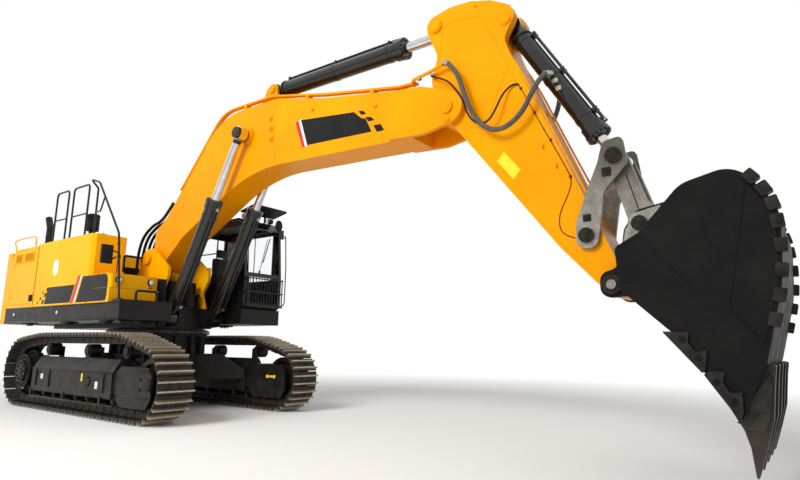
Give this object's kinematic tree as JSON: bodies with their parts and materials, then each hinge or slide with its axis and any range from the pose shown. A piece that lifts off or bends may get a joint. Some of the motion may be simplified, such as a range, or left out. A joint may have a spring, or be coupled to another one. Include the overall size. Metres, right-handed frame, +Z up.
{
  "type": "crawler excavator",
  "caption": "Tracked excavator with a swinging upper structure, cab, bent boom, arm and toothed bucket moved by cylinders, with doors, lids and a hood that open",
  "frame": {"origin": "on the ground, on the axis about which the upper structure swings", "axes": "+X to the front, where the boom points, +Y to the cab's side, +Z up"},
  "size_m": [14.6184, 3.48, 5.9121],
  "materials": {
    "track_steel": "worn, brown grey",
    "undercarriage_black": "satin black, dusty",
    "drive_steel": "dark cast steel",
    "frame_black": "satin black",
    "body_yellow": "semi-gloss yellow",
    "engine_grey": "plain",
    "rail_black": "satin black",
    "exhaust_steel": "heat dulled",
    "plastic_black": "matte",
    "cab_paint": "satin, near black",
    "cab_pane": "clear",
    "seat_fabric": "matte",
    "lamp_plastic": "clear lamp face",
    "boom_yellow": "semi-gloss yellow",
    "pipe_yellow": "semi-gloss yellow",
    "bucket_black": "worn charcoal",
    "tooth_steel": "worn dark steel",
    "link_cast": "weathered grey cast steel",
    "cylinder_black": "gloss black",
    "rod_chrome": "polished"
  },
  "bodies": {
    "undercarriage": {"track_left": "track_steel", "track_right": "track_steel", "track_frame_left": "undercarriage_black", "track_frame_right": "undercarriage_black", "final_drives": "drive_steel", "idlers": "drive_steel", "track_rollers": "drive_steel", "carrier_rollers": "drive_steel", "carbody": "undercarriage_black", "swing_bearing": "undercarriage_black"},
    "upperstructure": {"revolving_frame": "frame_black", "boom_foot_brackets": "body_yellow", "counterweight": "body_yellow", "engine_block": "engine_grey", "engine_housing": "body_yellow", "left_housing": "body_yellow", "centre_cover": "body_yellow", "tank_housing": "body_yellow", "tool_box": "body_yellow", "handrails": "rail_black", "swing_drives": "drive_steel", "valve_cover": "frame_black", "access_steps": "rail_black", "exhaust_stack": "exhaust_steel", "precleaner": "plastic_black", "right_mirror": "plastic_black", "cab_mirrors": "rail_black", "cab_shell": "cab_paint", "cab_glass": "cab_pane", "cab_seat": "seat_fabric", "cab_consoles": "plastic_black", "front_guard": "rail_black", "cab_visor": "rail_black", "work_lamps": "lamp_plastic"},
    "boom_body": {"boom": "boom_yellow", "boom_pipes": "pipe_yellow"},
    "arm_body": {"arm": "boom_yellow"},
    "bucket_body": {"bucket": "bucket_black", "bucket_teeth": "tooth_steel", "bucket_wear_parts": "tooth_steel"},
    "rocker_body": {"rocker_arms": "link_cast"},
    "link_body": {"bucket_link": "link_cast"},
    "boom_barrel_body": {"boom_cylinder_barrels": "cylinder_black"},
    "boom_rod_body": {"boom_cylinder_rods": "rod_chrome"},
    "arm_barrel_body": {"arm_cylinder_barrel": "cylinder_black"},
    "arm_rod_body": {"arm_cylinder_rod": "rod_chrome"},
    "bucket_barrel_body": {"bucket_cylinder_barrel": "cylinder_black"},
    "bucket_rod_body": {"bucket_cylinder_rod": "rod_chrome"},
    "cab_door_body": {"cab_door": "cab_paint", "door_glass": "cab_pane"},
    "hood_body": {"engine_hood": "body_yellow"},
    "rear_left_body": {"rear_door_left": "body_yellow"},
    "rear_right_body": {"rear_door_right": "body_yellow"},
    "left_door_body": {"left_front_door": "body_yellow"},
    "lid_body": {"tool_box_lid": "body_yellow"}
  },
  "joints": [
    {"name": "swing", "type": "hinge", "parent": "undercarriage", "child": "upperstructure", "pos_m": [0, 0, 1.45], "axis": [0, 0, 1], "continuous": true},
    {"name": "boom_lift", "type": "hinge", "parent": "upperstructure", "child": "boom_body", "pos_m": [0.17, 0, 2.87], "axis": [0, 1, 0], "range_deg": [-32, 43]},
    {"name": "arm_turn", "type": "hinge", "parent": "boom_body", "child": "arm_body", "pos_m": [6.99, 0, 4.4], "axis": [0, -1, 0], "range_deg": [-74, 22]},
    {"name": "bucket_turn", "type": "hinge", "parent": "arm_body", "child": "bucket_body", "pos_m": [9.04, 0, 1.9], "axis": [0, -1, 0], "range_deg": [-140, 15]},
    {"name": "boom_cylinder_turn", "type": "hinge", "parent": "upperstructure", "child": "boom_barrel_body", "pos_m": [1.09, 0, 1.7], "axis": [0, 1, 0], "range_deg": [-27.7, 37.2]},
    {"name": "boom_cylinder_stroke", "type": "slide", "parent": "boom_barrel_body", "child": "boom_rod_body", "axis": [0.4643, 0, 0.8857], "range_m": [-1.035, 0.772]},
    {"name": "arm_cylinder_turn", "type": "hinge", "parent": "boom_body", "child": "arm_barrel_body", "pos_m": [3.2, 0, 5.75], "axis": [0, -1, 0], "range_deg": [-5.1, 1.6]},
    {"name": "arm_cylinder_stroke", "type": "slide", "parent": "arm_barrel_body", "child": "arm_rod_body", "axis": [0.9999, 0, -0.0154], "range_m": [-0.452, 1.508]},
    {"name": "rocker_turn", "type": "hinge", "parent": "arm_body", "child": "rocker_body", "pos_m": [8.77, 0, 2.465], "axis": [0, 1, 0], "range_deg": [-11.4, 104.8]},
    {"name": "link_turn", "type": "hinge", "parent": "bucket_body", "child": "link_body", "pos_m": [9.35, 0, 2.52], "axis": [0, -1, 0], "range_deg": [-11.3, 103.8]},
    {"name": "bucket_cylinder_turn", "type": "hinge", "parent": "arm_body", "child": "bucket_barrel_body", "pos_m": [7.825, 0, 5.435], "axis": [0, -1, 0], "range_deg": [-1.7, 0.3]},
    {"name": "bucket_cylinder_stroke", "type": "slide", "parent": "bucket_barrel_body", "child": "bucket_rod_body", "axis": [0.5178, 0, -0.8555], "range_m": [-0.165, 1.5]},
    {"name": "cab_door_turn", "type": "hinge", "parent": "upperstructure", "child": "cab_door_body", "pos_m": [0.12, 1.59, 2.8], "axis": [0, 0, 1], "range_deg": [0, 165]},
    {"name": "hood_lift", "type": "hinge", "parent": "upperstructure", "child": "hood_body", "pos_m": [-2.93, 0, 3.176], "axis": [0, -1, 0], "range_deg": [0, 60]},
    {"name": "rear_left_turn", "type": "hinge", "parent": "upperstructure", "child": "rear_left_body", "pos_m": [-3.225, 1.605, 2.5], "axis": [0, 0, 1], "range_deg": [0, 110]},
    {"name": "rear_right_turn", "type": "hinge", "parent": "upperstructure", "child": "rear_right_body", "pos_m": [-3.225, -1.605, 2.5], "axis": [0, 0, -1], "range_deg": [0, 110]},
    {"name": "left_door_turn", "type": "hinge", "parent": "upperstructure", "child": "left_door_body", "pos_m": [-1.94, 1.605, 2.44], "axis": [0, 0, 1], "range_deg": [0, 100]},
    {"name": "lid_lift", "type": "hinge", "parent": "upperstructure", "child": "lid_body", "pos_m": [0.452, -1.15, 2.422], "axis": [0, -1, 0], "range_deg": [0, 75]}
  ],
  "couplings": [
    {"joint": "boom_cylinder_turn", "follows": "boom_lift", "ratio": 0.8604},
    {"joint": "boom_cylinder_stroke", "follows": "boom_lift", "m_per_rad": -1.3697},
    {"joint": "arm_cylinder_turn", "follows": "arm_turn", "ratio": 0.0674},
    {"joint": "arm_cylinder_stroke", "follows": "arm_turn", "m_per_rad": -1.1627},
    {"joint": "rocker_turn", "follows": "bucket_turn", "ratio": -0.7465},
    {"joint": "link_turn", "follows": "bucket_turn", "ratio": -0.7391},
    {"joint": "bucket_cylinder_turn", "follows": "bucket_turn", "ratio": 0.0111},
    {"joint": "bucket_cylinder_stroke", "follows": "bucket_turn", "m_per_rad": -0.6116}
  ]
}
